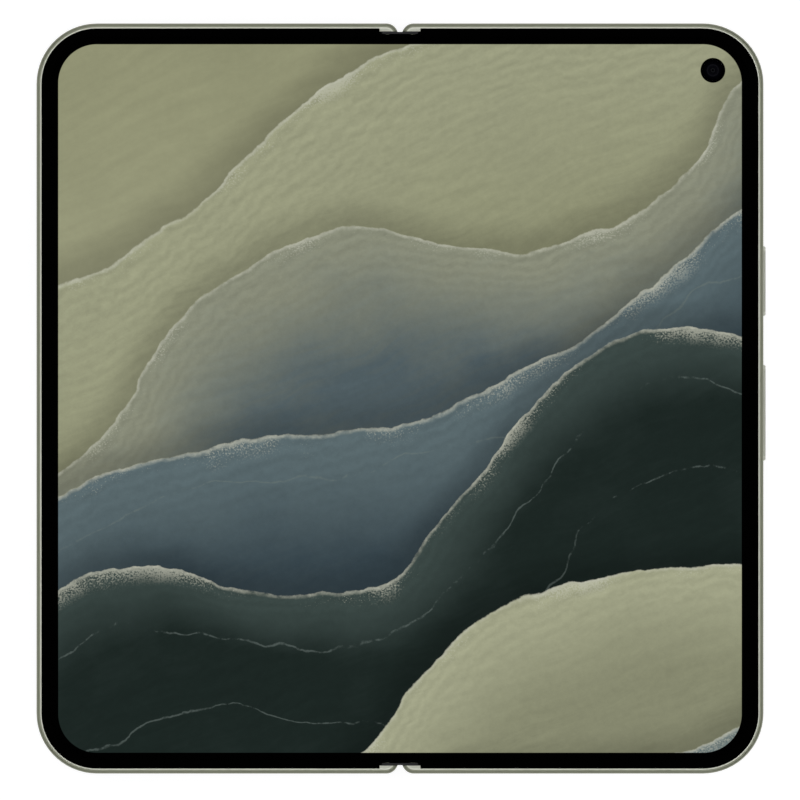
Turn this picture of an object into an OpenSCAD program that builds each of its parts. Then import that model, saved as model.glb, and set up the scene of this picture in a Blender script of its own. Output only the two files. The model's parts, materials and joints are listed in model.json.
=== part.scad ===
// Foldable smartphone, lying open and flat with the inner screen up.
// X runs across both halves with the fold at x = 0, Y runs up the screen and Z points out of it.
// Heights are measured from the back plane of the halves. lift() adds the height of the camera island.

/* [Overall] */
// Width of the open phone
open_w = 150.4; // [146:0.1:160]
// Height of the phone
open_h = 155.2; // [150:0.1:165]
// Thickness of one half
half_t = 5.2; // [5.2:0.05:6]
// Corner radius of the open phone, seen from the front
corner_r = 12.5; // [10:0.5:14]
// Gap between the folded screens
closed_gap = 0.4; // [0.3:0.05:0.8]

/* [Frame] */
// Radius of the rounded frame edges, front and back
edge_fillet = 0.85; // [0.5:0.05:1]
// Metal line between the rounded edge and the glass or the black border
edge_land = 0.2; // [0.1:0.05:0.4]
// How far that line slopes down towards the outside, on the front
land_drop = 0.06; // [0.02:0.01:0.1]
// Gap between the two frames at the ends of the fold
fold_gap = 0.84; // [0.6:0.02:1]
// Corner radius of each frame at the ends of the fold, seen from the front
fold_corner_r = 2.38; // [1.8:0.02:2.6]
// Wall of the frame past each end of the spine
end_wall = 1.65; // [1.4:0.05:2]
// Width of the frame wall round the inner space
side_wall = 2.3; // [2.1:0.05:2.8]
// Thickness of the plate between the inner space and the screen
midplate_t = 0.65; // [0.5:0.05:0.8]
// Thickness of the frame shelf that reaches under the spine
shelf_t = 0.7; // [0.5:0.05:0.8]
// Wall of the frame beside the spine
hinge_wall = 0.9; // [0.7:0.05:1.2]

/* [Screen] */
// Height of the soft black border above the frame
lip_t = 0.2; // [0.15:0.05:0.25]
// Distance from the frame's outline to the inner edge of the soft black border
lip_reach = 2.8; // [2.6:0.05:3.2]
// Distance from the frame's outline to the edge of the folding panel
panel_inset = 2.3; // [2.1:0.05:2.5]
// Thickness of the folding panel
panel_t = 0.6; // [0.5:0.05:0.7]
// Thickness of the plate that backs the panel
panel_plate_t = 0.2; // [0.15:0.05:0.25]
// Half-width of the stretch of panel that bends
bend_half_w = 4.6; // [4.4:0.1:5]
// Half-width of the gap in the black border at the fold
border_gap = 4.24; // [4:0.02:4.4]
// Radius of the hole for the inner camera
panel_hole_r = 2.2; // [1.8:0.05:2.4]
// Distance of the inner camera from the right edge
inner_camera_x = 10.47; // [9.5:0.01:12]
// Distance of the inner camera from the top edge
inner_camera_y = 9.71; // [9:0.01:11]

/* [Hinge] */
// Distance between the two fold axes
axis_spacing = 3.5; // [3.4:0.05:3.6]
// Wall of the spine cover
spine_t = 0.4; // [0.3:0.05:0.45]
// Thickness of the caps at the ends of the spine
cap_t = 0.4; // [0.3:0.05:0.5]
// Half-width of the raised part of an end cap
cap_half_w = 3.72; // [3.4:0.02:3.8]
// Thickness of the curved rail of a rotor
rail_t = 0.8; // [0.6:0.05:0.9]
// Angle that a curved rail spans
rail_angle = 160; // [150:1:164]
// Width of a rotor slot along the spine
slot_w = 3; // [2.5:0.1:3.4]
// Wall between two rotor slots
slot_wall = 1.2; // [1:0.1:1.6]
// Thickness of a rotor arm
arm_t = 0.6; // [0.5:0.05:0.65]
// Reach of the rotor and lever arms from the fold
arm_reach = 9.5; // [9:0.1:10]
// Length of the bay that holds the gears
gear_bay = 3.2; // [3:0.1:3.6]
// Thickness of the outer bearing plate
bearing_t = 1.9; // [1.5:0.1:2]
// Length of the bay that holds the friction discs
spring_bay = 1.95; // [1.8:0.05:2.2]
// Running clearance of the rails in their grooves
rail_clear = 0.05; // [0.03:0.01:0.08]

/* [Gears] */
// Teeth of each gear
gear_teeth = 10; // [10:2:10]
// Pitch radius of each gear
gear_pitch_r = 0.88; // [0.86:0.01:0.9]
// Height of a tooth above the pitch circle
tooth_rise = 0.14; // [0.1:0.01:0.15]
// Depth of a tooth below the pitch circle
tooth_depth = 0.19; // [0.17:0.01:0.22]
// Width of a gear
gear_w = 1.2; // [1:0.1:1.3]
// Distance of the gear axes below the fold axes
gear_drop = 1; // [0.95:0.01:1.05]
// Radius of the gear spindles
spindle_r = 0.25; // [0.2:0.01:0.3]

/* [Wing plates] */
// Reach of a wing plate from the fold
wing_reach = 8.3; // [8:0.1:8.8]
// Distance of a wing plate's inner edge from the fold
wing_inner = 3.3; // [3.2:0.1:3.6]
// Distance from the end of a wing plate to the hinge block
wing_end_gap = 1.5; // [1.4:0.1:6]
// Angle that a wing plate drops as the phone folds
wing_drop = 8; // [6:0.5:8]

/* [Backs] */
// Thickness of the back glass
back_glass_t = 0.4; // [0.35:0.05:0.5]
// Thickness of the cover screen's glass
cover_glass_t = 0.5; // [0.4:0.05:0.6]
// Thickness of the cover screen's panel
cover_panel_t = 0.9; // [0.7:0.05:1]
// Distance from the glass edge to the cover screen's panel
cover_border = 2; // [1.5:0.1:3]
// Radius of the cover camera's opening in the panel
cover_camera_r = 1.9; // [1.6:0.1:2.2]

/* [Camera island] */
// Width of the camera island
island_w = 33; // [32:0.5:36]
// Height of the camera island, seen from the back
island_l = 30; // [29:0.5:32]
// Corner radius of the camera island
island_r = 9; // [7:0.5:10]
// How far the island stands out of the back
island_h = 2.6; // [2:0.1:3]
// Distance of the island from the outer side edge
island_side = 6.2; // [5:0.1:8]
// Distance of the island from the top edge
island_top = 5.2; // [4.5:0.1:7]
// Width of a lens window
window_w = 26; // [24:0.5:27]
// Height of a lens window
window_l = 10.4; // [10:0.2:11]
// Distance between the middles of the two windows
window_pitch = 12.6; // [12.2:0.1:13.2]
// Radius of the main lens barrels
lens_r = 3.9; // [3.4:0.1:4]
// Distance between the two lens barrels of one window
lens_pitch = 13; // [12:0.1:14]

/* [Buttons] */
// Height of the power button above the middle
power_y = 24.3; // [20:0.1:26]
// Length of the power button
power_len = 14.4; // [12:0.1:16]
// Height of the volume key's middle above the middle of the phone
volume_y = -2.95; // [-6:0.05:0]
// Length of the volume key
volume_len = 19.8; // [16:0.1:22]
// Thickness of the buttons
button_t = 1.9; // [1.5:0.05:2.1]
// How far the buttons stand out
button_out = 0.45; // [0.3:0.05:0.6]
// Travel of the power button
button_travel = 0.25; // [0.15:0.05:0.3]

/* [Bottom edge] */
// Distance of the charging port from the fold
port_x = 37.8; // [36:0.1:40]
// Width of the charging port's mouth
port_w = 8.4; // [8.3:0.05:8.6]
// Height of the charging port's mouth
port_t = 2.56; // [2.5:0.02:2.6]
// Depth of the charging port
port_len = 7.3; // [6.8:0.1:8]
// Distance of the card tray from the fold
tray_x = 21; // [20:0.1:23]
// Width of the card tray
tray_w = 12.3; // [12:0.1:13]
// Length of the card tray
tray_len = 14; // [13:0.1:15]
// Thickness of the card tray
tray_t = 1.2; // [1:0.05:1.3]
// Number of holes in the speaker grille
grille_holes = 6; // [4:1:7]
// Distance between the speaker holes
grille_pitch = 1.9; // [1.6:0.1:2.2]
// Radius of a speaker hole
grille_r = 0.5; // [0.4:0.05:0.6]

/* [Inside] */
// Clearance round parts that are set into the frame
fit_gap = 0.05; // [0.03:0.01:0.08]
// Free height above and below inner parts
inner_gap = 0.15; // [0.1:0.01:0.2]
// Length of the space above the batteries, which holds the boards and cameras
top_space = 52.6; // [51:0.1:56]
// Length of the space below the batteries
bottom_space = 37.6; // [36:0.1:42]
// Gap round the batteries
battery_gap = 1.5; // [1:0.1:2]
// Thickness of the circuit boards
board_t = 0.6; // [0.5:0.05:0.8]
// Radius of the wireless charging coil
coil_r = 22; // [18:0.5:24]
// Number of turns that the coil shows
coil_turns = 7; // [4:1:8]
// Radius of the hinge screws
screw_r = 0.5; // [0.4:0.05:0.55]

/* [Hidden] */

$fn = 64;
fillet_steps = 8;
corner_steps = 20;
over = 1;

half_w = open_w / 2;
half_h = open_h / 2;
frame_t = half_t - lip_t;
ring = edge_fillet + edge_land;
// The seat of the black border cuts a little into the sloped line
lip_seat = ring - 0.03;
fold_x = fold_gap / 2;

// Layers, from the screen down
panel_top = frame_t - fit_gap;
panel_z = panel_top - panel_t;
plate_z = panel_z - panel_plate_t;
inner_top = plate_z - midplate_t;

// Fold axes and spine
axis_x = axis_spacing / 2;
axis_z = half_t - axis_x + closed_gap / 2;
spine_clear = 0.1;
spine_r = axis_z - shelf_t - spine_clear;
spine_in_r = spine_r - spine_t;
recess_r = spine_r + spine_clear;
recess_end = half_h - end_wall;
spine_end = recess_end - spine_clear - cap_t;
block_top = axis_z + 0.35;
block_r = spine_in_r - fit_gap;
inner_x = axis_x + recess_r + hinge_wall;
cap_top = panel_top - fit_gap;

// Rails and grooves, about each fold axis
groove_rim = 0.15;
groove_r = block_r - groove_rim;
rail_r = groove_r - rail_clear;
rail_in_r = rail_r - rail_t;
core_r = rail_in_r - rail_clear;
rail_side = 0.1;
arm_z1 = axis_z - 0.15;
arm_z0 = arm_z1 - arm_t;
arm_notch_z = arm_z0 - 0.1;

// Bays of a hinge module, from the end of the spine inward
spring_y = spine_end - spring_bay;
bearing_y = spring_y - bearing_t;
gear_bay_y = bearing_y - gear_bay;
left_slot_y = gear_bay_y - slot_wall - slot_w;
right_slot_y = left_slot_y - slot_wall - slot_w;
block_foot = 2.5;
block_y = right_slot_y - block_foot;
pad_extra = 1;
rail_x1 = arm_reach + 2.5;

// Gears
main_gear_x = 3 * gear_pitch_r;
gear_z = axis_z - gear_drop;
gear_side = 0.2;
gear_y = gear_bay_y + gear_side;
tip_r = gear_pitch_r + tooth_rise;
root_r = gear_pitch_r - tooth_depth;
spindle_clear = 0.03;
hub_r = 0.8;
lever_lift = 0.3;
lever_t = 0.45;
lever_gap = 0.1;
lever_y0 = gear_y + gear_w + lever_gap;
lever_y1 = bearing_y - gear_side;
lever_swing = norm([main_gear_x - axis_x, gear_drop]);
lever_pocket_z0 = axis_z - lever_swing + lever_lift - fit_gap;
lever_pocket_z1 = axis_z - gear_drop + lever_swing * (1 - sin(45)) + lever_lift + lever_t;

// Wing plates
wing_gap = 0.03;
wing_z1 = panel_z - wing_gap;
wing_z0 = plate_z - wing_gap / 2;
knuckle_r = 0.3;
knuckle_z = wing_z0 - 0.12;
wing_clear = 0.15;
wing_half_len = block_y - wing_end_gap;
wing_end = wing_half_len + wing_clear;

// Camera island and buttons
island_x = half_w - island_side - island_w / 2;
island_y = half_h - island_top - island_l / 2;
island_fillet = 1;
lens_x = [island_x - lens_pitch / 2, island_x + lens_pitch / 2];
window_y = [island_y - window_pitch / 2, island_y + window_pitch / 2];
window_t = 0.5;
camera_x = half_w - inner_camera_x;
camera_y = half_h - inner_camera_y;
button_z = frame_t / 2;
button_clear = 0.08;
inner_wall_x = half_w - side_wall;
flange_t = 0.35;
flange_gap = 0.12;
flange_x1 = inner_wall_x - flange_gap;
flange_x0 = flange_x1 - flange_t;
flange_lip = 0.4;

// Inner space of the halves
right_floor = back_glass_t;
cover_floor = cover_glass_t + fit_gap + cover_panel_t;
rail_end = block_y - 1;
port_z = frame_t / 2 - 0.2;
port_wall = 0.25;
tray_z = frame_t / 2;
tray_face = 2;
tray_lip = 0.45;

screw_x = arm_reach - 1.8;

// Cable across the spine
foot_len = 8;
foot_half_w = 1.2;
cable_w = 20;
cable_y1 = block_y - foot_len - 3.5;
cable_y0 = cable_y1 - cable_w;
cable_t = 0.15;
cable_z = axis_z - 1.15;
cable_gap = 0.15;
cable_bow_w = 3.6;

// Parts on the gear spindles
spindle_seat = 0.9;
disc_t = 0.22;
disc_gap = 0.08;
disc_r = 0.78;
half_tooth = 180 / gear_teeth;

// Cameras
lens_ring_in = lens_r - 0.7;
lens_glass_r = lens_ring_in - 0.5;
lens_dome_r = 6;
flash_r = 2.2;
module_rim = 1;
inner_barrel_r = 1.7;
inner_camera_w = 5;
cover_mid_x = (fold_x + half_w) / 2;
cover_camera_y = half_h - 9;

// Bottom and top edges
grille_x = port_x + port_w / 2 + 5;
mic_x = port_x - port_w / 2 - 3.5;
mic_r = 0.35;
ear_x = cover_mid_x - (grille_holes - 1) * grille_pitch / 2;
slit_w = 9;
slit_t = 0.35;
ear_w = 14;
ear_l = 3.2;
speaker_len = 10;
speaker_rim = 2;
motor_w = 9;
motor_len = 10;
block_corner_r = 1;
reader_wall = 0.4;
card_len = 9;
card_w = 8.8;
card_t = 0.9;
pin_hole_r = 0.4;

// Key switches
switch_t = 0.75;
switch_len = 4;
switch_h = 1.8;
plunger_t = 0.35;
plunger_len = 1.6;
plunger_h = 1;

// Magnets, batteries, coil, boards
magnet_w = 2;
magnet_len = 10;
magnet_t = 1.6;
magnet_gap = 0.9;
magnet_offset = 12;
battery_x0 = inner_x + battery_gap;
battery_x1 = inner_wall_x - magnet_w - battery_gap;
battery_y0 = bottom_space - half_h;
battery_y1 = half_h - top_space - battery_gap;
battery_r = 1.2;
coil_t = 0.3;
board_y0 = half_h - top_space;
board_z = inner_top - inner_gap - board_t;
board_inset = 2;
can_t = 1.3;
can_gap = 3;
can_r = 0.6;

// Points on an arc, in steps
function arc_points(cx, cy, r, a0, a1, steps) =
    [for (i = [0:steps]) [cx + r * cos(a0 + (a1 - a0) * i / steps),
        cy + r * sin(a0 + (a1 - a0) * i / steps)]];

// Outline of a right half: square or rounded at the fold, rounded at the outer corners
function half_outline(x0, inset, fold_r, r) = concat(
    arc_points(half_w - inset - r, half_h - inset - r, r, 0, 90, corner_steps),
    fold_r > 0
        ? arc_points(x0 + fold_r, half_h - inset - fold_r, fold_r, 90, 180, fillet_steps)
        : [[x0, half_h - inset]],
    fold_r > 0
        ? arc_points(x0 + fold_r, fold_r + inset - half_h, fold_r, 180, 270, fillet_steps)
        : [[x0, inset - half_h]],
    arc_points(half_w - inset - r, r + inset - half_h, r, 270, 360, corner_steps));

// Section of a frame, r wide and t high: both edges rounded, with a narrow slope above the upper one
function edge_section(r, t, f) = concat(
    [[0, 0]],
    arc_points(r - f, f, f, -90, 0, fillet_steps),
    arc_points(r - f, t - land_drop - f, f, 0, 90, fillet_steps),
    [[r - ring, t], [0, t]]);

// Rounded rectangle about the origin
function round_rect(w, l, r) = concat(
    arc_points(w / 2 - r, l / 2 - r, r, 0, 90, fillet_steps),
    arc_points(r - w / 2, l / 2 - r, r, 90, 180, fillet_steps),
    arc_points(r - w / 2, r - l / 2, r, 180, 270, fillet_steps),
    arc_points(w / 2 - r, r - l / 2, r, 270, 360, fillet_steps));

// Spine section: two arcs about the fold axes, joined by a flat floor, open at height top
function spine_section(r, top) = concat(
    arc_points(-axis_x, axis_z, r, 180, 270, corner_steps),
    arc_points(axis_x, axis_z, r, 270, 360, corner_steps),
    [[axis_x + r, top], [-axis_x - r, top]]);

function gear_points(phase) = [for (i = [0:gear_teeth - 1], k = [0:3])
    let (
        side = [-11, -4.5, 4.5, 11][k],
        r = (k == 1 || k == 2) ? tip_r : root_r,
        a = 360 / gear_teeth * i + phase + side)
    [r * cos(a), r * sin(a)]];

module lift() {
    translate([0, 0, island_h]) children();
}

// Extrudes an XZ section from y0 to y1
module along_y(y0, y1) {
    translate([0, y1, 0]) rotate([90, 0, 0]) linear_extrude(y1 - y0) children();
}

// Extrudes a YZ section from x0 to x1
module along_x(x0, x1) {
    translate([x0, 0, 0]) rotate([90, 0, 90]) linear_extrude(x1 - x0) children();
}

module both_ends() {
    children();
    mirror([0, 1, 0]) children();
}

module left_side() {
    mirror([1, 0, 0]) children();
}

module box(x0, x1, y0, y1, z0, z1) {
    translate([x0, y0, z0]) cube([x1 - x0, y1 - y0, z1 - z0]);
}

module half_plate(x0, inset, fold_r, z0, z1) {
    translate([0, 0, z0]) linear_extrude(z1 - z0)
        polygon(half_outline(x0, inset, fold_r, corner_r - inset));
}

module round_box(x, y, w, l, r, z0, z1) {
    translate([x, y, z0]) linear_extrude(z1 - z0) polygon(round_rect(w, l, r));
}

module post(x, y, r, z0, z1) {
    translate([x, y, z0]) cylinder(r = r, h = z1 - z0);
}

// Quarter of a round corner with rounded edges
module corner_pie(x, y, r, t, f, turn) {
    translate([x, y, 0]) rotate([0, 0, turn]) rotate_extrude(angle = 90) polygon(edge_section(r, t, f));
}

// Outer form of a right half: a plate with round corners and round edges
module half_body() {
    outer_x = half_w - corner_r;
    outer_y = half_h - corner_r;
    inner_cx = fold_x + fold_corner_r;
    inner_cy = half_h - fold_corner_r;
    for (s = [0, 1]) mirror([0, s, 0]) {
        corner_pie(outer_x, outer_y, corner_r, frame_t, edge_fillet, 0);
        corner_pie(inner_cx, inner_cy, fold_corner_r, frame_t, edge_fillet, 90);
        along_x(inner_cx, outer_x) translate([outer_y, 0])
            polygon(edge_section(corner_r, frame_t, edge_fillet));
    }
    along_y(-outer_y, outer_y) translate([outer_x, 0])
        polygon(edge_section(corner_r, frame_t, edge_fillet));
    along_y(-inner_cy, inner_cy) translate([inner_cx, 0]) mirror([1, 0])
        polygon(edge_section(fold_corner_r, frame_t, edge_fillet));
    box(inner_cx, outer_x, -outer_y, outer_y, 0, frame_t);
}

// Space that the spine turns in, cut out of a half
module spine_recess() {
    along_y(-recess_end, recess_end) translate([axis_x, axis_z]) circle(r = recess_r);
    box(-over, axis_x, -recess_end, recess_end, shelf_t, frame_t + over);
}

// Space for a wing plate and its knuckle
module wing_recess() {
    along_y(-wing_end, wing_end) polygon([
        [axis_x, wing_z0 - (wing_reach - axis_x) * tan(wing_drop) - wing_clear],
        [wing_reach, wing_z0 - wing_clear],
        [wing_reach, frame_t],
        [axis_x, frame_t]]);
    along_y(-wing_end, wing_end) translate([wing_reach, knuckle_z]) circle(r = knuckle_r + rail_clear);
    box(wing_reach, wing_reach + knuckle_r + rail_clear, -wing_end, wing_end, knuckle_z, frame_t);
}

// Pocket for a rotor's foot with its two screw holes
module foot_pocket(slot_y) {
    y0 = slot_y - pad_extra;
    y1 = slot_y + slot_w + pad_extra;
    box(axis_x, arm_reach + rail_side, y0, y1, arm_z0 - fit_gap, frame_t);
    for (y = screw_places(slot_y)) post(screw_x, y, screw_r, right_floor + over, frame_t);
}

function screw_places(slot_y) = [slot_y + 0.3, slot_y + slot_w - 0.3];

module lever_pocket() {
    box(axis_x, arm_reach + rail_side, lever_y0 - rail_side, lever_y1 + rail_side, lever_pocket_z0,
        lever_pocket_z1);
}

// What both halves have in common; slot_y is the place of this half's rotor slot
module plain_frame(slot_y, back_t) {
    difference() {
        half_body();
        spine_recess();
        half_plate(fold_x + ring, ring, fold_corner_r - ring, -over, back_t);
        difference() {
            half_plate(inner_x, side_wall, 0, back_t - fit_gap, inner_top);
            both_ends() box(inner_x - over, rail_x1, rail_end, half_h, -over, half_t);
        }
        half_plate(border_gap, lip_seat, 0, plate_z, half_t);
        wing_recess();
        both_ends() {
            foot_pocket(slot_y);
            lever_pocket();
        }
        box(axis_x, inner_x + over, cable_y0 - cable_gap, cable_y1 + cable_gap,
            cable_z - cable_gap, cable_z + cable_t + cable_gap);
    }
}

module key_section(len, t) {
    polygon(round_rect(len, t, t / 2 - 0.01));
}

module key_slot(y, len) {
    along_x(inner_wall_x - over, half_w + over) translate([y, button_z])
        key_section(len + 2 * button_clear, button_t + 2 * button_clear);
}

// Room behind the wall for the flange of a key
module key_pocket(y, flange_len) {
    reach = button_t / 2 + flange_lip + 2 * fit_gap;
    box(flange_x0 - button_travel - fit_gap, inner_wall_x, y - flange_len / 2 - inner_gap,
        y + flange_len / 2 + inner_gap, button_z - reach, button_z + reach);
}

module port_hole(x, w, t, z, r, depth) {
    along_y(-half_h - over, depth - half_h) translate([x, z]) polygon(round_rect(w, t, r));
}

module right_frame() {
    color([0.56, 0.57, 0.49]) lift() difference() {
        plain_frame(right_slot_y, back_glass_t);
        key_slot(power_y, power_len);
        key_slot(volume_y, volume_len);
        port_hole(port_x, port_w, port_t, port_z, port_t / 2 - 0.01, side_wall + over);
        box(port_x - port_w / 2 - port_wall - fit_gap, port_x + port_w / 2 + port_wall + fit_gap,
            side_wall - half_h, side_wall + port_len - half_h,
            right_floor, port_z + port_t / 2 + port_wall + fit_gap);
        port_hole(tray_x, tray_w + 2 * tray_lip + 2 * button_clear, tray_face + 2 * button_clear,
            tray_z, tray_face / 2, side_wall + over);
        for (i = [0:grille_holes - 1])
            post_y(grille_x + i * grille_pitch, grille_r, port_z, -half_h - over,
                side_wall + over - half_h);
        post_y(mic_x, mic_r, port_z, -half_h - over, side_wall + over - half_h);
        post_y(mic_x, mic_r, port_z, half_h - side_wall - over, half_h + over);
        key_pocket(power_y, power_len + 2 * flange_lip);
        key_pocket(volume_y, volume_len / 3);
        post(camera_x, camera_y, inner_barrel_r + fit_gap, inner_top - over, half_t);
    }
}

module post_y(x, r, z, y0, y1) {
    along_y(y0, y1) translate([x, z]) circle(r = r);
}

module right_back_glass() {
    color([0.6, 0.61, 0.53]) lift() difference() {
        half_plate(fold_x + ring + fit_gap, ring + fit_gap, fold_corner_r - ring, 0,
            back_glass_t - fit_gap);
        for (x = lens_x, y = window_y) post(x, y, lens_r + fit_gap, -over, half_t);
    }
}

// Soft black border: a low rim beside the panel and a lip over its edge
module bezel() {
    difference() {
        half_plate(border_gap + fit_gap, ring + fit_gap, 0, plate_z, half_t);
        half_plate(border_gap - over, panel_inset - fit_gap, 0, plate_z - over, frame_t);
        half_plate(border_gap - over, lip_reach, 0, plate_z - over, half_t + over);
    }
}

module right_bezel() {
    color([0.02, 0.02, 0.02]) lift() bezel();
}

module left_bezel() {
    color([0.02, 0.02, 0.02]) lift() left_side() bezel();
}

module panel() {
    half_plate(bend_half_w, panel_inset, 0, panel_z, panel_top);
}

module right_panel() {
    color([0.3, 0.34, 0.3]) lift() difference() {
        panel();
        post(camera_x, camera_y, panel_hole_r, 0, half_t);
    }
}

module left_panel() {
    color([0.25, 0.3, 0.28]) lift() left_side() panel();
}

module panel_plate() {
    difference() {
        half_plate(inner_x - hinge_wall + fit_gap, panel_inset, 0, plate_z, panel_z);
        box(0, wing_reach + knuckle_r + 2 * rail_clear, -wing_end, wing_end, 0, half_t);
    }
}

module right_panel_plate() {
    color([0.35, 0.35, 0.36]) lift() difference() {
        panel_plate();
        post(camera_x, camera_y, inner_barrel_r + fit_gap, 0, half_t);
    }
}

module left_panel_plate() {
    color([0.35, 0.35, 0.36]) lift() left_side() panel_plate();
}

// Camera island: a raised plate with round edges, two window recesses and four barrel bores
module camera_island() {
    cx = island_w / 2 - island_r;
    cy = island_l / 2 - island_r;
    section = concat(
        [[0, 0]],
        arc_points(island_r - island_fillet, island_fillet, island_fillet, -90, 0, fillet_steps),
        [[island_r, island_h], [0, island_h]]);
    color([0.6, 0.61, 0.53]) translate([island_x, island_y, 0]) difference() {
        union() {
            for (turn = [0, 90, 180, 270]) {
                x = (turn == 0 || turn == 270) ? cx : -cx;
                y = turn < 180 ? cy : -cy;
                translate([x, y, 0]) rotate([0, 0, turn]) rotate_extrude(angle = 90) polygon(section);
            }
            for (s = [0, 1]) {
                mirror([s, 0, 0]) along_y(-cy, cy) translate([cx, 0]) polygon(section);
                mirror([0, s, 0]) along_x(-cx, cx) translate([cy, 0]) polygon(section);
            }
            box(-cx, cx, -cy, cy, 0, island_h);
        }
        for (y = [-window_pitch / 2, window_pitch / 2]) {
            translate([0, 0, -over])
                round_box(0, y, window_w, window_l, window_l / 2 - 0.01, 0, over + window_t);
            for (x = [-lens_pitch / 2, lens_pitch / 2])
                post(x, y, lens_r + fit_gap, 0, island_h + over);
        }
    }
}

module camera_windows() {
    color([0.05, 0.05, 0.06]) for (y = window_y) difference() {
        round_box(island_x, y, window_w - 2 * fit_gap, window_l - 2 * fit_gap,
            window_l / 2 - fit_gap - 0.01, fit_gap, window_t);
        for (x = lens_x) post(x, y, lens_ring_in, -over, island_h);
    }
}

// A ring round each lens, standing a little back from the outer face
module lens_rings() {
    color([0.35, 0.36, 0.36]) for (p = lens_places()) difference() {
        post(p[0], p[1], lens_ring_in - fit_gap, fit_gap, 2 * window_t);
        translate([0, 0, -over]) post(p[0], p[1], lens_glass_r, 0, 2 * window_t + 2 * over);
    }
}

// Three lenses; the fourth place holds the flash
function lens_places() = [[lens_x[0], window_y[0]], [lens_x[0], window_y[1]], [lens_x[1], window_y[0]]];
function flash_place() = [lens_x[1], window_y[1]];

module camera_modules() {
    base_z = right_floor + inner_gap;
    color([0.12, 0.12, 0.13]) for (p = lens_places()) {
        lens_dome(p[0], p[1]);
        post(p[0], p[1], lens_r, 2 * window_t + fit_gap, island_h + base_z);
        round_box(p[0], p[1], 2 * lens_r + module_rim, 2 * lens_r + module_rim, 0.8,
            island_h + base_z, island_h + inner_top - inner_gap);
    }
}

// Front lens with a domed outer face
module lens_dome(x, y) {
    intersection() {
        post(x, y, lens_glass_r - fit_gap, 0, 2 * window_t + 2 * fit_gap);
        translate([x, y, lens_dome_r + 2 * fit_gap]) sphere(r = lens_dome_r);
    }
}

module flash_lens() {
    color([0.95, 0.93, 0.8]) {
        post(flash_place()[0], flash_place()[1], lens_ring_in - fit_gap, window_t / 2,
            window_t + fit_gap);
        post(flash_place()[0], flash_place()[1], flash_r, window_t + fit_gap,
            island_h + right_floor + 1);
    }
}

// Battery: a flat pouch with rounded corners

module battery(z0) {
    round_box((battery_x0 + battery_x1) / 2, (battery_y0 + battery_y1) / 2,
        battery_x1 - battery_x0, battery_y1 - battery_y0, battery_r, z0, inner_top - inner_gap);
}

module right_battery() {
    color([0.2, 0.2, 0.22]) lift() battery(right_floor + inner_gap + coil_t + inner_gap);
}

module left_battery() {
    color([0.2, 0.2, 0.22]) lift() left_side() battery(cover_floor + inner_gap);
}

// Circuit board above the battery, cut out round the rear cameras and the inner camera

module main_board() {
    color([0.1, 0.3, 0.22]) lift() difference() {
        half_plate(inner_x + fit_gap, side_wall + board_inset, 0, board_z, board_z + board_t);
        box(0, half_w, -half_h, board_y0, 0, half_t);
        box(0, rail_x1 + inner_gap, rail_end - inner_gap, half_h, 0, half_t);
        for (p = concat(lens_places(), [flash_place()]))
            round_box(p[0], p[1], 2 * lens_r + module_rim + 0.6, 2 * lens_r + module_rim + 0.6, 1,
                0, half_t);
        round_box(camera_x, camera_y, inner_camera_w + 1, inner_camera_w + 1, 0.4, 0, half_t);
    }
}

// Two cans beside the cameras and one below them
module shield_cans() {
    can_x0 = rail_x1 + can_gap;
    can_x1 = island_x - window_w / 2 - can_gap / 2;
    can_y0 = board_y0 + can_gap;
    can_y1 = half_h - side_wall - board_inset - can_gap;
    can_l = (can_y1 - can_y0 - can_gap) / 2;
    low_l = island_y - window_pitch / 2 - lens_r - 2 * can_gap - board_y0;
    color([0.7, 0.71, 0.72]) lift() {
        for (y = [can_y0 + can_l / 2, can_y1 - can_l / 2])
            round_box((can_x0 + can_x1) / 2, y, can_x1 - can_x0, can_l, can_r, board_z - can_t,
                board_z);
        round_box(island_x, can_y0 + low_l / 2, window_w, low_l, can_r, board_z - can_t, board_z);
    }
}

// Charging port: a rounded metal shell with a centre tongue
module usb_port() {
    y0 = side_wall + fit_gap - half_h;
    y1 = side_wall + port_len - fit_gap - half_h;
    color([0.72, 0.73, 0.74]) lift() {
        difference() {
            along_y(y0, y1) translate([port_x, port_z])
                polygon(round_rect(port_w + 2 * port_wall, port_t + 2 * port_wall, port_t / 2));
            along_y(y0 - over, y1 - port_wall) translate([port_x, port_z])
                polygon(round_rect(port_w, port_t, port_t / 2 - 0.01));
        }
        box(port_x - port_w / 2 + 0.9, port_x + port_w / 2 - 0.9, y0 + 0.8, y1, port_z - 0.35,
            port_z + 0.35);
    }
}

// Loudspeaker box behind the grille
module bottom_speaker() {
    color([0.15, 0.15, 0.16]) lift()
        round_box(grille_x + (grille_holes - 1) * grille_pitch / 2,
            side_wall - half_h + fit_gap + speaker_len / 2,
            grille_holes * grille_pitch + 2 * speaker_rim, speaker_len, block_corner_r,
            right_floor + inner_gap, inner_top - inner_gap);
}

// Haptic motor between the loudspeaker and the battery
module haptic_motor() {
    color([0.75, 0.75, 0.76]) lift()
        round_box(battery_x1 - motor_w / 2 - battery_gap, battery_y0 - motor_len / 2 - 2 * battery_gap,
            motor_w, motor_len, block_corner_r, right_floor + inner_gap, inner_top - inner_gap);
}

// Charging coil: flat rings of wire on a thin sheet, between the battery and the glass
module charging_coil() {
    wire = 0.7 * coil_r / 2 / coil_turns;
    cx = (battery_x0 + battery_x1) / 2;
    cy = (battery_y0 + battery_y1) / 2;
    z0 = right_floor + inner_gap / 2;
    color([0.72, 0.42, 0.22]) lift() difference() {
        post(cx, cy, coil_r, z0, z0 + coil_t);
        post(cx, cy, coil_r / 2 - 1, z0 - over, z0 + coil_t + over);
        for (i = [1:coil_turns - 1]) {
            r = coil_r / 2 - 1 + i * (coil_r / 2 + 1) / coil_turns;
            translate([cx, cy, z0 - over]) difference() {
                cylinder(r = r + wire / 4, h = over + coil_t / 2);
                cylinder(r = r - wire / 4, h = over + coil_t / 2);
            }
        }
    }
}

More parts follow.
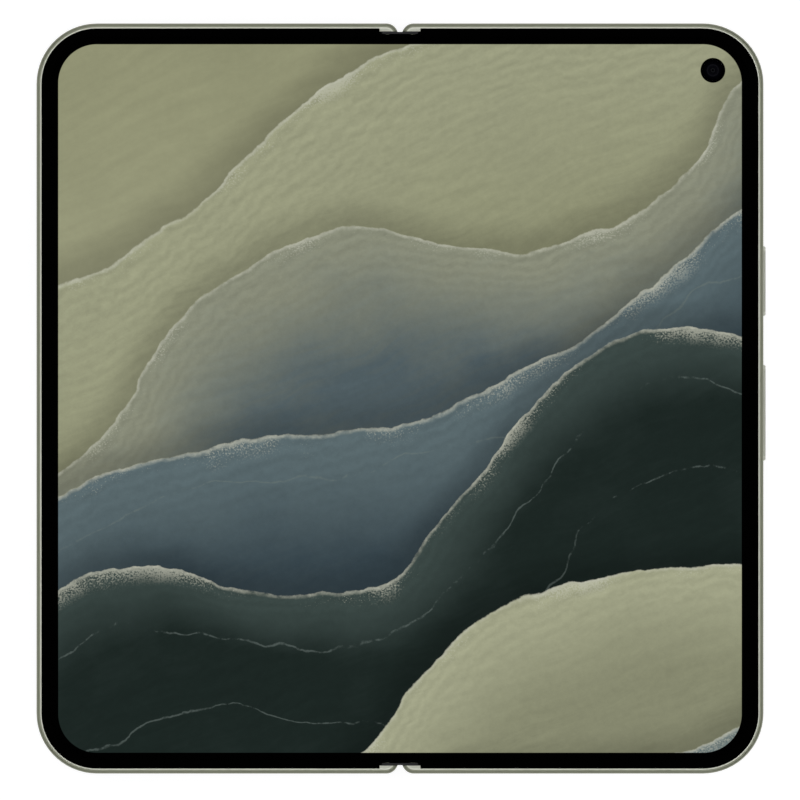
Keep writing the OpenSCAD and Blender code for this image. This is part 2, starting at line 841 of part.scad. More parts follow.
module inner_camera() {
    color([0.1, 0.1, 0.11]) lift() {
        round_box(camera_x, camera_y, inner_camera_w, inner_camera_w, 0.4, right_floor + inner_gap,
            inner_top - fit_gap);
        post(camera_x, camera_y, inner_barrel_r, inner_top - fit_gap, panel_z + fit_gap);
    }
}

module inner_camera_window() {
    color([0.02, 0.02, 0.03]) lift()
        post(camera_x, camera_y, panel_hole_r - fit_gap, panel_z + 2 * fit_gap, panel_top);
}

// Key switches: a low box with a plunger towards the key
module button_switches() {
    x1 = flange_x0 - button_travel - fit_gap;
    color([0.3, 0.3, 0.32]) lift()
    for (y = [power_y, volume_y - volume_len / 3, volume_y + volume_len / 3]) {
        box(x1 - plunger_t - switch_t, x1 - plunger_t, y - switch_len / 2, y + switch_len / 2,
            button_z - switch_h / 2, button_z + switch_h / 2);
        box(x1 - plunger_t, x1, y - plunger_len / 2, y + plunger_len / 2,
            button_z - plunger_h / 2, button_z + plunger_h / 2);
    }
}

// Card reader: a low box with a mouth for the tray
module card_reader() {
    y0 = side_wall + over - half_h;
    color([0.7, 0.71, 0.72]) lift() difference() {
        box(tray_x - tray_w / 2 - button_clear - reader_wall,
            tray_x + tray_w / 2 + button_clear + reader_wall,
            y0, y0 + tray_len + 2 * reader_wall, tray_z - tray_t / 2 - button_clear - reader_wall,
            inner_top - fit_gap);
        box(tray_x - tray_w / 2 - button_clear, tray_x + tray_w / 2 + button_clear,
            y0 - over, y0 + tray_len,
            tray_z - tray_t / 2 - button_clear, tray_z + tray_t / 2 + button_clear);
    }
}

// Rotor: a curved rail about the fold axis, an arm and a foot that is screwed to the frame
module rotor(slot_y) {
    y0 = slot_y + rail_side;
    y1 = slot_y + slot_w - rail_side;
    rail_gap_angle = (180 - rail_angle) / 2;
    rail = concat(
        arc_points(axis_x, axis_z, rail_r, rail_gap_angle - 180, -rail_gap_angle, 2 * corner_steps),
        arc_points(axis_x, axis_z, rail_in_r, -rail_gap_angle, rail_gap_angle - 180, 2 * corner_steps));
    difference() {
        union() {
            difference() {
                along_y(y0, y1) difference() {
                    translate([axis_x, axis_z]) circle(r = rail_r);
                    translate([axis_x, axis_z]) circle(r = rail_in_r);
                }
                along_y(y0 - over, y1 + over) polygon([
                    [axis_x, axis_z],
                    [axis_x + 2 * rail_r, axis_z - 2 * rail_r * tan(rail_gap_angle)],
                    [axis_x + 2 * rail_r, axis_z + 2 * rail_r],
                    [axis_x - 2 * rail_r, axis_z + 2 * rail_r],
                    [axis_x - 2 * rail_r, axis_z - 2 * rail_r * tan(rail_gap_angle)]]);
            }
            box(axis_x + rail_in_r + 0.2, axis_x + recess_r + rail_side + 0.4, y0, y1, arm_z0, arm_z1);
            box(axis_x + recess_r + rail_side, arm_reach, slot_y - pad_extra + rail_side,
                slot_y + slot_w + pad_extra - rail_side, arm_z0, arm_z1);
        }
        for (y = screw_places(slot_y)) post(screw_x, y, screw_r + fit_gap, 0, half_t);
    }
}

module right_rotors() {
    color([0.62, 0.63, 0.65]) lift() both_ends() rotor(right_slot_y);
}

module left_rotors() {
    color([0.62, 0.63, 0.65]) lift() left_side() both_ends() rotor(left_slot_y);
}

module hinge_screw_set(slot_y) {
    both_ends() for (y = screw_places(slot_y)) {
        post(screw_x, y, screw_r - 0.02, right_floor + over + 0.3, arm_z1);
        difference() {
            post(screw_x, y, 2 * screw_r, arm_z1, plate_z - fit_gap);
            post(screw_x, y, screw_r, plate_z - 0.25, half_t);
        }
    }
}

module right_hinge_screws() {
    color([0.4, 0.4, 0.42]) lift() hinge_screw_set(right_slot_y);
}

module left_hinge_screws() {
    color([0.4, 0.4, 0.42]) lift() left_side() hinge_screw_set(left_slot_y);
}

// Closing magnets along the outer edge, beside the battery's lower end
module magnets() {
    for (y = [battery_y0 - magnet_offset, battery_y0 + magnet_offset])
        box(inner_wall_x - magnet_w - magnet_gap, inner_wall_x - magnet_gap,
            y - magnet_len / 2, y + magnet_len / 2,
            inner_top - magnet_t, inner_top - fit_gap);
}

module right_magnets() {
    color([0.8, 0.8, 0.82]) lift() magnets();
}

module left_magnets() {
    color([0.8, 0.8, 0.82]) lift() left_side() magnets();
}

module left_frame() {
    color([0.56, 0.57, 0.49]) lift() left_side() difference() {
        plain_frame(left_slot_y, cover_glass_t);
        for (i = [0:grille_holes - 1])
            post_y(ear_x + i * grille_pitch, grille_r, port_z, half_h - side_wall - over,
                half_h + over);
    }
}

module cover_glass() {
    color([0.03, 0.03, 0.04]) lift() left_side() difference() {
        half_plate(fold_x + ring + fit_gap, ring + fit_gap, fold_corner_r - ring, 0,
            cover_glass_t - fit_gap);
        box(cover_mid_x - slit_w / 2, cover_mid_x + slit_w / 2, half_h - ring - slit_t, half_h,
            -over, half_t);
    }
}

module cover_panel() {
    color([0.05, 0.05, 0.06]) lift() left_side() difference() {
        half_plate(inner_x + cover_border, side_wall + cover_border, 0, cover_glass_t,
            cover_glass_t + cover_panel_t);
        both_ends() box(0, rail_x1 + fit_gap, rail_end - fit_gap, half_h, 0, half_t);
        post(cover_mid_x, cover_camera_y, cover_camera_r, 0, half_t);
    }
}

module cover_camera() {
    color([0.1, 0.1, 0.11]) lift() left_side() {
        post(cover_mid_x, cover_camera_y, cover_camera_r - fit_gap, cover_glass_t,
            cover_floor + fit_gap);
        round_box(cover_mid_x, cover_camera_y, inner_camera_w, inner_camera_w, 0.4,
            cover_floor + fit_gap, inner_top - inner_gap);
    }
}

// Board of the left half: above the battery, with room for the camera and the earpiece
module sub_board() {
    color([0.1, 0.3, 0.22]) lift() left_side() difference() {
        half_plate(inner_x + fit_gap, side_wall + board_inset, 0, board_z, board_z + board_t);
        box(0, half_w, -half_h, board_y0, 0, half_t);
        box(0, rail_x1 + inner_gap, rail_end - inner_gap, half_h, 0, half_t);
        box(cover_mid_x - ear_w / 2 - 1, cover_mid_x + ear_w / 2 + 1,
            half_h - side_wall - ear_l - 9, half_h, 0, half_t);
    }
}

module earpiece_speaker() {
    color([0.15, 0.15, 0.16]) lift() left_side()
        round_box(cover_mid_x, half_h - side_wall - fit_gap - ear_l / 2, ear_w, ear_l, 0.5,
            cover_floor + inner_gap, inner_top - inner_gap);
}

// Spine cover: a trough with rounded sides, notched where the arms pass
module spine_cover() {
    color([0.5, 0.51, 0.44]) lift() difference() {
        along_y(-spine_end, spine_end) polygon(spine_section(spine_r, block_top));
        along_y(-spine_end - over, spine_end + over)
            polygon(spine_section(spine_in_r, block_top + over));
        both_ends() {
            side_notch(right_slot_y, right_slot_y + slot_w);
            left_side() side_notch(left_slot_y, left_slot_y + slot_w);
            side_notch(lever_y0 - rail_side, lever_y1 + rail_side);
            left_side() side_notch(lever_y0 - rail_side, lever_y1 + rail_side);
        }
        for (s = [0, 1]) mirror([s, 0, 0])
            box(axis_x, axis_x + 2 * spine_r, cable_y0 - cable_gap, cable_y1 + cable_gap,
                cable_z - cable_gap, half_t);
    }
}

module side_notch(y0, y1) {
    box(axis_x + core_r + fit_gap, axis_x + 2 * spine_r, y0, y1, arm_notch_z, half_t);
}

module spine_end_caps() {
    color([0.18, 0.18, 0.19]) lift() both_ends() along_y(spine_end, spine_end + cap_t) union() {
        polygon(spine_section(spine_r, axis_z));
        polygon([[-cap_half_w, axis_z - 1], [cap_half_w, axis_z - 1], [cap_half_w, cap_top],
            [-cap_half_w, cap_top]]);
    }
}

// Hinge block: fills the spine, with a curved groove for each rotor and a bay for the gears
module hinge_blocks() {
    color([0.55, 0.56, 0.58]) lift() both_ends() difference() {
        along_y(block_y, spring_y) polygon(spine_section(block_r, block_top));
        along_y(gear_bay_y, bearing_y) polygon(spine_section(block_r + over, block_top + over));
        rotor_groove(right_slot_y);
        left_side() rotor_groove(left_slot_y);
        for (x = spindle_places())
            post_y(x, spindle_r, gear_z, gear_bay_y - spindle_seat, spring_y + over);
    }
}

function spindle_places() = [-main_gear_x, -gear_pitch_r, gear_pitch_r, main_gear_x];

module rotor_groove(slot_y) {
    along_y(slot_y, slot_y + slot_w) translate([axis_x, axis_z]) difference() {
        circle(r = groove_r);
        circle(r = core_r);
    }
    side_notch(slot_y, slot_y + slot_w);
}

// Plate over the middle of the spine, on two feet
module centre_plate() {
    plate_half_w = wing_inner - 0.7;
    color([0.45, 0.45, 0.47]) lift() {
        box(-plate_half_w, plate_half_w, -block_y + fit_gap, block_y - fit_gap, wing_z0, wing_z1);
        both_ends()
            box(-foot_half_w, foot_half_w, block_y - foot_len, block_y - fit_gap,
                axis_z - spine_in_r, wing_z0);
    }
}

module fold_panel() {
    seam = 0.02;
    color([0.28, 0.32, 0.29]) lift()
        box(seam - bend_half_w, bend_half_w - seam, panel_inset - half_h, half_h - panel_inset,
            panel_z, panel_top);
}

module gear_spindles() {
    color([0.75, 0.76, 0.78]) lift() both_ends() for (x = spindle_places())
        post_y(x, spindle_r - 0.01, gear_z, gear_bay_y - spindle_seat + fit_gap, spine_end - 0.25);
}

module friction_discs() {
    color([0.65, 0.6, 0.5]) lift() both_ends() for (x = spindle_places(), i = [0:3])
        difference() {
            post_y(x, disc_r, gear_z, spring_y + disc_gap + i * (disc_t + disc_gap),
                spring_y + disc_gap + i * (disc_t + disc_gap) + disc_t);
            post_y(x, spindle_r + fit_gap, gear_z, spring_y - over, spine_end + over);
        }
}

// Flat cable that crosses the spine and hangs in a slack bow inside it
module fold_cable() {
    bow = cable_z - (axis_z - spine_in_r) - 0.4;
    reach = inner_x + 3;
    steps = 24;
    line = [for (i = [0:steps]) let (x = -reach + 2 * reach * i / steps)
        [x, cable_z - (abs(x) < cable_bow_w ? bow * (1 + cos(180 * x / cable_bow_w)) / 2 : 0)]];
    outline = concat(line, [for (i = [steps:-1:0]) line[i] + [0, cable_t]]);
    color([0.75, 0.5, 0.2]) lift() along_y(cable_y0, cable_y1) polygon(outline);
}

// Sync arm: gear, hub and a flat lever that slides in the frame
module sync_arm(phase) {
    difference() {
        union() {
            along_y(gear_y, gear_y + gear_w) translate([main_gear_x, gear_z])
                polygon(gear_points(phase));
            post_y(main_gear_x, root_r - 0.05, gear_z, gear_y, lever_y0 + 0.1);
            post_y(main_gear_x, hub_r, gear_z, lever_y0, lever_y1);
            box(main_gear_x, arm_reach, lever_y0, lever_y1, gear_z + lever_lift,
                gear_z + lever_lift + lever_t);
        }
        post_y(main_gear_x, spindle_r + spindle_clear, gear_z, gear_y - over, lever_y1 + over);
    }
}

module idler(phase) {
    difference() {
        along_y(gear_y, gear_y + gear_w) translate([gear_pitch_r, gear_z]) polygon(gear_points(phase));
        post_y(gear_pitch_r, spindle_r + spindle_clear, gear_z, gear_y - over, gear_y + gear_w + over);
    }
}

module right_sync_arms() {
    color([0.8, 0.72, 0.45]) lift() both_ends() sync_arm(half_tooth);
}

module left_sync_arms() {
    color([0.8, 0.72, 0.45]) lift() both_ends() left_side() sync_arm(0);
}

module right_idlers() {
    color([0.7, 0.65, 0.5]) lift() both_ends() idler(0);
}

module left_idlers() {
    color([0.7, 0.65, 0.5]) lift() both_ends() left_side() idler(half_tooth);
}

// Wing plate: holds up the panel beside the fold and drops away as the phone folds
module wing() {
    box(wing_inner, wing_reach, -wing_half_len, wing_half_len, wing_z0, wing_z1);
    along_y(-wing_half_len, wing_half_len) translate([wing_reach, knuckle_z]) circle(r = knuckle_r);
}

module right_wing() {
    color([0.5, 0.5, 0.52]) lift() wing();
}

module left_wing() {
    color([0.5, 0.5, 0.52]) lift() left_side() wing();
}

// Key: a pill-shaped cap with a narrower crown and a flange behind the wall
module key(y, len, flange_len) {
    x1 = half_w + button_out;
    crown = 0.15;
    along_x(flange_x1 - over / 4, x1 - crown) translate([y, button_z]) key_section(len, button_t);
    along_x(x1 - crown, x1) translate([y, button_z]) key_section(len - 2 * crown, button_t - 2 * crown);
    along_x(flange_x0, flange_x1) translate([y, button_z])
        key_section(flange_len, button_t + 2 * flange_lip);
}

module power_button() {
    color([0.66, 0.67, 0.62]) lift() key(power_y, power_len, power_len + 2 * flange_lip);
}

module volume_key() {
    color([0.66, 0.67, 0.62]) lift() key(volume_y, volume_len, volume_len / 3);
}

// Card tray: a face in the bottom edge and a flat frame for the card
module card_tray() {
    face_y1 = side_wall + over - half_h - inner_gap;
    card_floor = tray_t - card_t;
    color([0.56, 0.57, 0.49]) lift() {
        difference() {
            along_y(-half_h, face_y1) translate([tray_x, tray_z])
                polygon(round_rect(tray_w + 2 * tray_lip, tray_face, tray_face / 2 - 0.01));
            post_y(tray_x + tray_w / 2 - 2 * pin_hole_r, pin_hole_r, tray_z, -half_h - over,
                -half_h + over);
        }
        difference() {
            box(tray_x - tray_w / 2, tray_x + tray_w / 2, face_y1, side_wall + tray_len - half_h,
                tray_z - tray_t / 2, tray_z + tray_t / 2);
            round_box(tray_x, side_wall + tray_len - card_floor * 4 - card_len / 2 - half_h,
                card_w, card_len, can_r,
                tray_z - tray_t / 2 + card_floor, half_t);
        }
    }
}

right_frame();
right_back_glass();
right_bezel();
right_panel();
right_panel_plate();
camera_island();
camera_windows();
lens_rings();
camera_modules();
flash_lens();
right_battery();
main_board();
shield_cans();
usb_port();
bottom_speaker();
haptic_motor();
charging_coil();
inner_camera();
inner_camera_window();
button_switches();
card_reader();
right_rotors();
right_hinge_screws();
right_magnets();
left_frame();
cover_glass();
cover_panel();
cover_camera();
left_bezel();
left_panel();
left_panel_plate();
left_battery();
sub_board();
earpiece_speaker();
left_rotors();
left_hinge_screws();
left_magnets();
spine_cover();
spine_end_caps();
hinge_blocks();
centre_plate();
fold_panel();
gear_spindles();
friction_discs();
fold_cable();
right_sync_arms();
left_sync_arms();
right_idlers();
left_idlers();
right_wing();
left_wing();
power_button();
volume_key();
card_tray();
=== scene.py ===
import json
import math
import bpy
import bmesh
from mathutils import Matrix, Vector


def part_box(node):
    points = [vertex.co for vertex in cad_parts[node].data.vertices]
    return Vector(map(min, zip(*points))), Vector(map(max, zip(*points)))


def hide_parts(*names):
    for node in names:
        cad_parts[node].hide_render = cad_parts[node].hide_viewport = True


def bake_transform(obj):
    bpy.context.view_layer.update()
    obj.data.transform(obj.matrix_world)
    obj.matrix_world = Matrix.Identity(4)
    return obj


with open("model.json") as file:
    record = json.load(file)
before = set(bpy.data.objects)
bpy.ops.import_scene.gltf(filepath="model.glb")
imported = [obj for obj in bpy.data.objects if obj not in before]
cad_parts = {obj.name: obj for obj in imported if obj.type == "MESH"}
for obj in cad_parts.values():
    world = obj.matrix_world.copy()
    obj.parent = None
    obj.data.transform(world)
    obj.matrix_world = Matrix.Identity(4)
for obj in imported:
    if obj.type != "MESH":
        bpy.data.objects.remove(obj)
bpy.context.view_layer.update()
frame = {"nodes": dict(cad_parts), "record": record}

nodes = frame["nodes"]
record = frame["record"]
mm = 0.001
uvSpan = 0.2               # metres that the UVs of a bending piece cover
uvMiddle = 0.5             # where the UVs have the middle of the phone
drawnEdge = (-0.05, 0.05)  # mm, where the edge of a drawn area starts and ends to fade
sharpAngle = 35            # degrees, above which an edge of a bending piece stays sharp
panelLow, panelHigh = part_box("right_panel")  # the stiff part of the screen on the right
cableLow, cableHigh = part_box("fold_cable")


def linear(red, green, blue):
    # written as on a colour picker, 0 to 255
    def channel(value):
        value /= 255
        return value / 12.92 if value <= 0.04045 else ((value + 0.055) / 1.055) ** 2.4
    return (channel(red), channel(green), channel(blue), 1.0)


def dimmed(colour, share):
    return tuple(channel * share for channel in colour[:3]) + (1.0,)


def level(value):
    # a grey as a share of white light
    return (value, value, value, 1.0)


def middle(name):
    # middle of the box round a node, in mm
    low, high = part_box(name)
    return (low + high) / 2 / mm


# Shader helpers: Signal is one output with sums, Graph is a tree of nodes, Paint is a material
class Signal:
    def __init__(self, graph, socket):
        self.graph = graph
        self.socket = socket

    def output(self, name):
        return Signal(self.graph, self.socket.node.outputs[name])

    def maths(self, operation, *others):
        return self.graph.node("ShaderNodeMath", {"operation": operation}, (self, *others))

    def flipped(self, operation, other):
        return self.graph.node("ShaderNodeMath", {"operation": operation}, (other, self))

    def __add__(self, other):
        return self.maths("ADD", other)

    def __sub__(self, other):
        return self.maths("SUBTRACT", other)

    def __rsub__(self, other):
        return self.flipped("SUBTRACT", other)

    def __mul__(self, other):
        return self.maths("MULTIPLY", other)

    def __truediv__(self, other):
        return self.maths("DIVIDE", other)

    def __rtruediv__(self, other):
        return self.flipped("DIVIDE", other)

    def __abs__(self):
        return self.maths("ABSOLUTE")

    __radd__ = __add__
    __rmul__ = __mul__

    def smallest(self, other):
        return self.maths("MINIMUM", other)

    def largest(self, other):
        return self.maths("MAXIMUM", other)

    def sine(self):
        return self.maths("SINE")

    def wave(self, pitch, phase=0.0):
        # from -1 to 1 and back over each pitch
        return (self * (2 * math.pi / pitch) + phase).sine()

    def between(self, low, high):
        # 0 below low, 1 above high, a soft step in between
        return self.graph.node("ShaderNodeMapRange", {"interpolation_type": "SMOOTHSTEP"},
                               {"Value": self, "From Min": low, "From Max": high})


class Graph:
    def __init__(self, tree):
        self.tree = tree

    def node(self, kind, settings=None, values=(), out=0):
        # the settings of a new node first, then the values or links of its sockets
        made = self.tree.nodes.new(kind)
        for key, value in (settings or {}).items():
            if key == "stops":
                self.fillRamp(made.color_ramp, value)
            else:
                setattr(made, key, value)
        pairs = values.items() if isinstance(values, dict) else enumerate(values)
        for key, value in pairs:
            self.feed(made.inputs[key], value)
        return Signal(self, made.outputs[out])

    def fillRamp(self, ramp, stops):
        while len(ramp.elements) < len(stops):
            ramp.elements.new(1.0)
        for element, (place, colour) in zip(ramp.elements, stops):
            element.position = place
            element.color = colour

    def feed(self, socket, value):
        if isinstance(value, Signal):
            self.tree.links.new(value.socket, socket)
        else:
            socket.default_value = value

    def ramp(self, share, *stops):
        # each stop is a place from 0 to 1 and a colour as on a colour picker
        made = [(place, linear(*colour)) for place, *colour in stops]
        return self.node("ShaderNodeValToRGB", {"stops": made}, (share,))

    def vector(self, operation, *values, scale=None):
        named = dict(enumerate(values))
        if scale is not None:
            named["Scale"] = scale
        return self.node("ShaderNodeVectorMath", {"operation": operation}, named,
                         out="Value" if operation in ("LENGTH", "DISTANCE") else "Vector")

    def point(self, x, y, z):
        return self.node("ShaderNodeCombineXYZ", None, (x, y, z))

    def axes(self, spot):
        x = self.node("ShaderNodeSeparateXYZ", None, (spot,))
        return x, x.output("Y"), x.output("Z")

    def place(self, layer=None):
        # position on the piece at rest, in mm: from a layer of UVs where the piece bends, else from the mesh
        if layer:
            uv = self.node("ShaderNodeUVMap", {"uv_map": layer})
            fromMiddle = self.vector("SUBTRACT", uv, (uvMiddle, uvMiddle, 0.0))
            return self.vector("SCALE", fromMiddle, scale=uvSpan / mm)
        return self.vector("SCALE", self.node("ShaderNodeTexCoord", out="Object"), scale=1 / mm)

    def mix(self, share, first, second, blend="MIX"):
        # sockets 6 and 7 and output 2 are the ones for colours
        return self.node("ShaderNodeMix", {"data_type": "RGBA", "blend_type": blend, "clamp_factor": True},
                         {0: share, 6: first, 7: second}, out=2)

    def times(self, first, second):
        return self.mix(1.0, first, second, "MULTIPLY")

    def depths(self, share, colour, low, high):
        # one colour, between two shares of its own brightness
        return self.mix(share, dimmed(colour, low), dimmed(colour, high))

    def grey(self, value):
        return self.node("ShaderNodeCombineColor", None, (value, value, value))

    def noise(self, spot, scale, detail=2.0, rough=0.5):
        # from 0 to 1, scale in features per mm
        return self.node("ShaderNodeTexNoise", None,
                         {"Vector": spot, "Scale": scale, "Detail": detail, "Roughness": rough}, out="Fac")

    def reachFrom(self, spot, places):
        # distance in mm, seen from above, to the nearest of some places
        nearest = None
        for x, y in places:
            flat = self.vector("MULTIPLY", self.vector("SUBTRACT", spot, (x, y, 0.0)), (1.0, 1.0, 0.0))
            reach = self.vector("LENGTH", flat)
            nearest = reach if nearest is None else nearest.smallest(reach)
        return nearest

    def roundBox(self, x, y, halfWide, halfHigh, corner):
        # distance in mm outside a box with round corners about the origin, less than 0 inside
        pastX = abs(x) - (halfWide - corner)
        pastY = abs(y) - (halfHigh - corner)
        outside = self.vector("LENGTH", self.point(pastX.largest(0.0), pastY.largest(0.0), 0.0))
        return outside + pastX.largest(pastY).smallest(0.0) - corner


class Paint(Graph):
    def __init__(self, name, **fixed):
        self.material = bpy.data.materials.new(name)
        self.material.use_nodes = True
        super().__init__(self.material.node_tree)
        self.surface = self.tree.nodes["Principled BSDF"]
        for key, value in fixed.items():
            self.set(key.replace("_", " "), value)

    def set(self, name, value):
        self.feed(self.surface.inputs[name], value)

    def bump(self, height, strength, depth):
        # depth in mm
        self.set("Normal", self.node("ShaderNodeBump", None,
                                     {"Strength": strength, "Distance": depth * mm, "Height": height}))


# Camera, floor and light
studio = {
    "pixel": 0.20686,           # mm of the screen per pixel of the picture
    "pixels": 800,
    "aim": (0.005, -0.31),      # mm, the place at the middle of the picture
    "lens": 800,                # mm, so long that the halves hardly converge
    "sensor": 36,               # mm
    "clip": (0.1, 100),         # metres
    "floorZ": -0.15,            # mm
    "floorSize": 9.0,           # metres
    "paper": ((254, 254, 254), (251, 251, 252)),
    "paperGrain": 0.02,         # clouds per mm
    "floorGlow": 0.87,          # what the camera and mirrors see of the floor, besides its shade
    "floorBounce": 0.5,         # light that the floor sends back to matt surfaces
    "floorShade": 0.32,         # how much of the lamps' light the floor shows, with the shadow in it
    "floorFade": (250, 1100),   # mm from the middle, where the floor turns into plain white
    "boxHeight": 0.62,          # metres from the phone up to the softboxes
    "boxInner": 0.31,           # half of the open square between the softboxes
    "boxOuter": 0.66,           # from the middle to their outer edges
    "boxCorner": 0.46,          # from the middle to the end of each that passes a corner of the open square
    "boxGlow": 1.75,            # brightness of their faces
    "roomGlow": 0.56,           # brightness of the walls in the middle
    "wallFoot": 0.55,           # share of it at the foot of the walls
    "wallFull": 0.5,            # height, as a sine, from which they have all of it
    "cornerDark": 0.85,         # share that the walls lose away from their middles
    "wallMiddle": (0.12, 0.6),  # where they start and end to lose it, as the sine of twice the angle
    "ceiling": (0.86, 0.93),    # height, as a sine, at which the room turns dark above the softboxes
}


def makeCamera():
    camera = bpy.data.objects.new("camera", bpy.data.cameras.new("camera"))
    bpy.context.scene.collection.objects.link(camera)
    camera.data.lens = studio["lens"]
    camera.data.sensor_width = studio["sensor"]
    camera.data.clip_start, camera.data.clip_end = studio["clip"]
    width = studio["pixel"] * studio["pixels"] * mm
    distance = width * studio["lens"] / studio["sensor"]
    camera.location = (studio["aim"][0] * mm, studio["aim"][1] * mm, panelHigh.z + distance)
    bpy.context.scene.camera = camera


def makeFloor():
    # pale paper that glows a little, keeps the shadow, and is clear from below
    paint = Paint("paper floor")
    spot = paint.place()
    grain = paint.noise(spot, studio["paperGrain"], 3.0)
    light, dark = studio["paper"]
    tint = paint.mix(grain, linear(*light), linear(*dark))
    shaded = paint.times(tint, level(studio["floorShade"]))
    matt = paint.node("ShaderNodeBsdfDiffuse", None, {"Color": shaded})
    camera = paint.node("ShaderNodeLightPath", out="Is Camera Ray")
    seen = camera.largest(camera.output("Is Glossy Ray")).largest(camera.output("Is Transmission Ray"))
    far = paint.vector("LENGTH", spot).between(*studio["floorFade"])
    shown = studio["floorGlow"] + far * (1 - studio["floorGlow"])
    strength = studio["floorBounce"] + seen * (shown - studio["floorBounce"])
    glow = paint.node("ShaderNodeEmission", None, {"Color": tint, "Strength": strength})
    paper = paint.node("ShaderNodeAddShader", None, (matt, glow))
    below = paint.node("ShaderNodeNewGeometry", out="Backfacing")
    clear = paint.node("ShaderNodeBsdfTransparent")
    sheet = paint.node("ShaderNodeMixShader", None, (below, paper, clear))
    paint.feed(paint.tree.nodes["Material Output"].inputs["Surface"], sheet)
    paint.tree.nodes.remove(paint.surface)
    half = studio["floorSize"] / 2
    corners = [(-half, -half, 0), (half, -half, 0), (half, half, 0), (-half, half, 0)]
    mesh = bpy.data.meshes.new("floor")
    mesh.from_pydata(corners, [], [(0, 1, 2, 3)])
    mesh.materials.append(paint.material)
    floor = bpy.data.objects.new("floor", mesh)
    floor.location.z = studio["floorZ"] * mm
    bpy.context.scene.collection.objects.link(floor)


def makeLights():
    # four softboxes overhead, each past one corner of the open square that the camera looks through
    inner, outer = studio["boxInner"], studio["boxOuter"]
    deep = outer - inner
    wide = inner + studio["boxCorner"]
    first = Vector((-(wide / 2 - inner), (inner + outer) / 2, 0))
    for i in range(4):
        lamp = bpy.data.lights.new("softbox%d" % i, "AREA")
        lamp.shape = "RECTANGLE"
        lamp.size = wide
        lamp.size_y = deep
        lamp.energy = studio["boxGlow"] * math.pi * wide * deep  # watts that give the face this glow
        holder = bpy.data.objects.new("softbox%d" % i, lamp)
        turn = math.radians(90 * i)
        holder.location = (first.x * math.cos(turn) - first.y * math.sin(turn),
                           first.x * math.sin(turn) + first.y * math.cos(turn), studio["boxHeight"])
        holder.rotation_euler = (0, 0, turn)
        holder.visible_camera = False
        bpy.context.scene.collection.objects.link(holder)


def makeRoom():
    # plain white for the camera, while the phone gets walls with a bright middle and a dark ceiling
    world = bpy.data.worlds.new("room")
    world.use_nodes = True
    bpy.context.scene.world = world
    room = Graph(world.node_tree)
    seen = room.node("ShaderNodeLightPath", out="Is Camera Ray")
    x, y, up = room.axes(room.node("ShaderNodeTexCoord", out="Generated"))
    ceiling = up.between(*studio["ceiling"])
    foot = studio["wallFoot"]
    walls = (1 - ceiling) * (foot + up.between(0.0, studio["wallFull"]) * (1 - foot)) * studio["roomGlow"]
    flat = (x * x + y * y).largest(0.0001)  # never 0, also straight above
    cornerwise = (abs(x * y) * 2 / flat).between(*studio["wallMiddle"])
    walls = walls * (1 - cornerwise * studio["cornerDark"])
    back = room.tree.nodes["Background"]
    room.feed(back.inputs["Color"], level(1.0))
    room.feed(back.inputs["Strength"], seen + (1 - seen) * walls)


bpy.context.scene.view_settings.view_transform = "Standard"
makeCamera()
makeFloor()
makeLights()
makeRoom()
print("camera, floor and lights made")

# Finishes
tones = {
    "sage": linear(142, 145, 127),
    # lighter than the sage: bare cut metal, and a painted highlight as well
    "sageCutHighlight": linear(226, 228, 214),
    # the key walls: cut metal, lightened further as a painted highlight
    "sageKeyHighlight": linear(230, 232, 220),
    "sageGlass": linear(150, 152, 128),
    "cap": linear(38, 38, 40),
    "black": linear(2, 2, 2),
}
satin = {
    "pits": 6.0, "specks": 14.0, "drift": 0.06,  # per mm
    "depth": (0.86, 1.14),       # shares of the colour
    "roughSpecks": 0.12,         # how far the roughness strays
    "roughDrift": 0.08,
    "cutRough": 0.07,            # what bright cut metal is rougher by
    "frameCutHighlight": (0.075, 0.055),  # mm below the top of the frames, where the bright cut and its painted highlight start and are whole
    "keyCutHighlight": (0.06, 0.02),      # mm below the outer face of the keys, where their cut walls and their painted highlight end
}


def frameCutHighlight(x, y, z):
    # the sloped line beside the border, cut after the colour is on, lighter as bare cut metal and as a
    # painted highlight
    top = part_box("right_frame")[1].z / mm
    return z.between(top - satin["frameCutHighlight"][0], top - satin["frameCutHighlight"][1])


def keyCutHighlight(x, y, z):
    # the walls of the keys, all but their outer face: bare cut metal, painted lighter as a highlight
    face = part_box("power_button")[1].x / mm
    return 1 - x.between(face - satin["keyCutHighlight"][0], face - satin["keyCutHighlight"][1])


def satinMetal(name, colour, rough, cutHighlightColour=None, cutHighlightWhere=None):
    # bead-blasted and anodised: tiny pits, slow drift of tone, and bright metal where it is cut afterwards,
    # whose light colour is partly a painted highlight
    paint = Paint(name, Metallic=1.0)
    spot = paint.place()
    pits = paint.noise(spot, satin["pits"], 2.0)
    drift = paint.noise(spot, satin["drift"], 3.0)
    specks = paint.noise(spot, satin["specks"], 1.0)
    tone = paint.depths(drift * 0.4 + pits * 0.3 + specks * 0.3, colour, *satin["depth"])
    roughness = rough + (drift - 0.5) * satin["roughDrift"] + (specks - 0.5) * satin["roughSpecks"]
    if cutHighlightWhere:
        cut = cutHighlightWhere(*paint.axes(spot))
        # the cut colour: bare metal, lightened further as a painted highlight
        tone = paint.mix(cut, tone, cutHighlightColour)
        roughness = roughness + cut * satin["cutRough"]
    paint.set("Base Color", tone)
    paint.set("Roughness", roughness)
    paint.bump(pits * 0.5 + specks * 0.5, 0.2, 0.02)
    return paint.material


def polishedMetal(name, colour, rough=0.16):
    # faint polishing streaks along the spine
    paint = Paint(name, Metallic=1.0)
    x, y, z = paint.axes(paint.place())
    streaks = paint.noise(paint.point(x * 4.0, y * 0.12, z * 4.0), 1.0, 3.0)
    paint.set("Base Color", paint.depths(streaks, colour, 0.94, 1.06))
    paint.set("Roughness", rough + (streaks - 0.5) * 0.08)
    return paint.material


